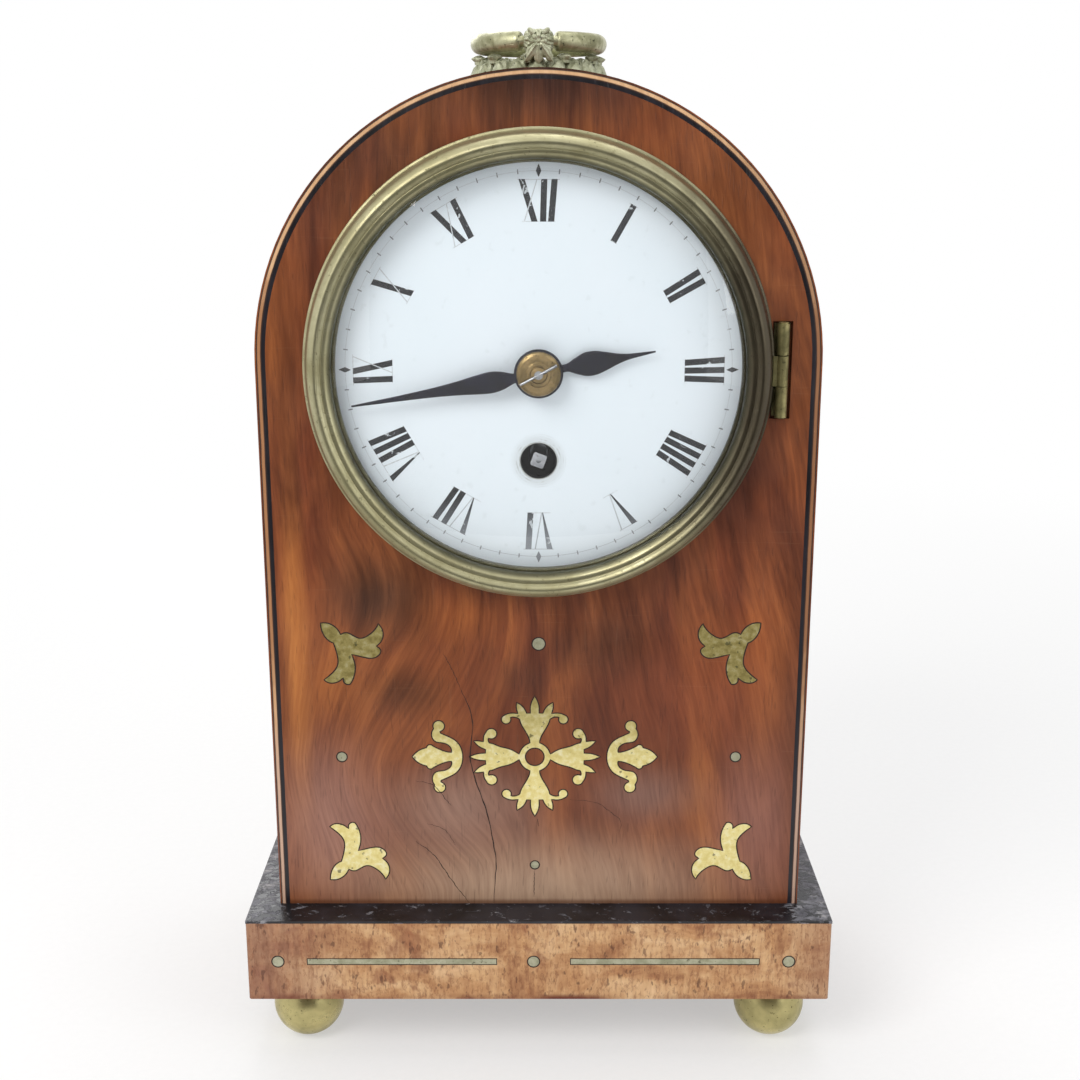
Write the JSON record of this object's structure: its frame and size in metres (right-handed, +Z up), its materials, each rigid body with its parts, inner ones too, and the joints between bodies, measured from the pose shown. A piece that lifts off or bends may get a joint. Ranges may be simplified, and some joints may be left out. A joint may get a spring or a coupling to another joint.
{
  "type": "fusee clock",
  "caption": "Arched mahogany bracket clock with brass bezel, convex dial, ring handle, ball feet and a fusee movement behind a glazed back door.",
  "frame": {"origin": "centre of the bounding box in X and Y, on the flats of the ball feet", "axes": "+Z up through the arch, -Y out of the dial, +X to the right seen from the front"},
  "size_m": [0.227, 0.152, 0.3909],
  "materials": {
    "brass": "turned brass, tarnished",
    "bezel_brass": "olive tarnished brass",
    "inlay_brass": "engraved sheet brass",
    "movement_brass": "polished clock brass",
    "mahogany": "French-polished figured mahogany",
    "mahogany_side": "French-polished mahogany",
    "plinth_veneer": "polished veneer",
    "ebonised": "ebonised, worn",
    "ebony": "polished ebony line",
    "boxwood": "polished boxwood line",
    "oak": "plain oak",
    "enamel": "white vitreous enamel on copper",
    "glass": "clear glass",
    "blued_steel": "blued steel",
    "steel": "polished steel",
    "gut": "gut line"
  },
  "bodies": {
    "case": {"ball_feet": "brass", "plinth_frame": "plinth_veneer", "base_board": "oak", "ebonised_moulding": "ebonised", "front_board": "mahogany", "arched_carcase": "mahogany_side", "back_frame": "oak", "boxwood_stringing": "boxwood", "ebony_stringing": "ebony", "centre_inlay": "inlay_brass", "corner_inlays": "inlay_brass", "brass_roundels": "inlay_brass", "bezel_hinge_fixed_leaf": "brass", "bezel_hinge_pin": "steel", "bezel_hinge_screws": "steel", "back_hinge_fixed_leaves": "brass", "back_hinge_pins": "steel", "dial": "enamel", "front_plate": "movement_brass", "back_plate": "movement_brass", "pillars": "movement_brass", "seat_board": "oak", "frame_fasteners": "movement_brass", "barrel_arbor": "steel", "setup_click": "steel", "mainspring": "steel", "gut_line": "gut", "back_cock": "movement_brass", "suspension_spring": "steel", "handle_plate": "brass", "handle_clasp": "brass"},
    "bezel_door": {"bezel_ring": "bezel_brass", "bezel_glass": "glass", "glass_retaining_ring": "bezel_brass", "bezel_hinge_moving_leaf": "brass"},
    "back_door": {"back_door_frame": "mahogany_side", "back_door_glass": "glass", "back_hinge_moving_leaves": "brass", "back_door_knob": "brass"},
    "handle": {"ring_handle": "brass"},
    "centre_train": {"centre_wheel": "movement_brass", "cannon_pinion": "movement_brass", "minute_hand": "blued_steel", "hand_boss": "brass"},
    "hour_train": {"hour_wheel": "movement_brass", "hour_hand": "blued_steel"},
    "minute_train": {"minute_wheel": "movement_brass"},
    "great_train": {"great_wheel": "movement_brass", "fusee_click": "steel"},
    "fusee": {"fusee_cone": "movement_brass", "fusee_arbor": "steel"},
    "barrel": {"barrel_drum": "movement_brass", "barrel_cap": "movement_brass"},
    "third_train": {"third_wheel": "movement_brass"},
    "escape_train": {"escape_wheel": "movement_brass"},
    "pendulum": {"pallets": "steel", "crutch": "steel", "pendulum_rod": "steel", "pendulum_bob": "movement_brass", "rating_nut": "movement_brass"}
  },
  "joints": [
    {"name": "bezel_swing", "type": "hinge", "parent": "case", "child": "bezel_door", "pos_m": [0.0869, -0.0615, 0.27148], "axis": [0, 0, 1], "range_deg": [0, 110]},
    {"name": "back_door_swing", "type": "hinge", "parent": "case", "child": "back_door", "pos_m": [0.0923, 0.0692, 0.27148], "axis": [0, 0, -1], "range_deg": [0, 110]},
    {"name": "ring_lift", "type": "hinge", "parent": "case", "child": "handle", "pos_m": [0, -0.0187, 0.38608], "axis": [1, 0, 0], "range_deg": [0, 100]},
    {"name": "centre_turn", "type": "hinge", "parent": "case", "child": "centre_train", "pos_m": [0, -0.06, 0.27148], "axis": [0, 1, 0], "continuous": true},
    {"name": "hour_turn", "type": "hinge", "parent": "case", "child": "hour_train", "pos_m": [0, -0.06, 0.27148], "axis": [0, 1, 0], "continuous": true},
    {"name": "minute_wheel_turn", "type": "hinge", "parent": "case", "child": "minute_train", "pos_m": [0.01872, -0.06, 0.27148], "axis": [0, 1, 0], "continuous": true},
    {"name": "great_wheel_turn", "type": "hinge", "parent": "case", "child": "great_train", "pos_m": [0, -0.06, 0.23897], "axis": [0, 1, 0], "continuous": true},
    {"name": "third_wheel_turn", "type": "hinge", "parent": "case", "child": "third_train", "pos_m": [0.01462, -0.06, 0.2889], "axis": [0, 1, 0], "continuous": true},
    {"name": "escape_wheel_turn", "type": "hinge", "parent": "case", "child": "escape_train", "pos_m": [0, -0.06, 0.30123], "axis": [0, 1, 0], "continuous": true},
    {"name": "fusee_wind", "type": "hinge", "parent": "great_train", "child": "fusee", "pos_m": [0, -0.06, 0.23897], "axis": [0, 1, 0], "range_deg": [-1440, 1440]},
    {"name": "barrel_turn", "type": "hinge", "parent": "case", "child": "barrel", "pos_m": [-0.0475, -0.06, 0.21788], "axis": [0, 1, 0], "range_deg": [-1100, 1100]},
    {"name": "pendulum_swing", "type": "hinge", "parent": "case", "child": "pendulum", "pos_m": [0, 0.016, 0.32273], "axis": [0, 1, 0], "range_deg": [-4, 4], "deforming": ["suspension_spring"]}
  ],
  "couplings": [
    {"joint": "hour_turn", "follows": "centre_turn", "ratio": 0.083333},
    {"joint": "minute_wheel_turn", "follows": "centre_turn", "ratio": -1},
    {"joint": "great_wheel_turn", "follows": "centre_turn", "ratio": -0.083333},
    {"joint": "third_wheel_turn", "follows": "centre_turn", "ratio": -12},
    {"joint": "escape_wheel_turn", "follows": "centre_turn", "ratio": 133.71},
    {"joint": "barrel_turn", "follows": "fusee_wind", "ratio": 0.67}
  ]
}
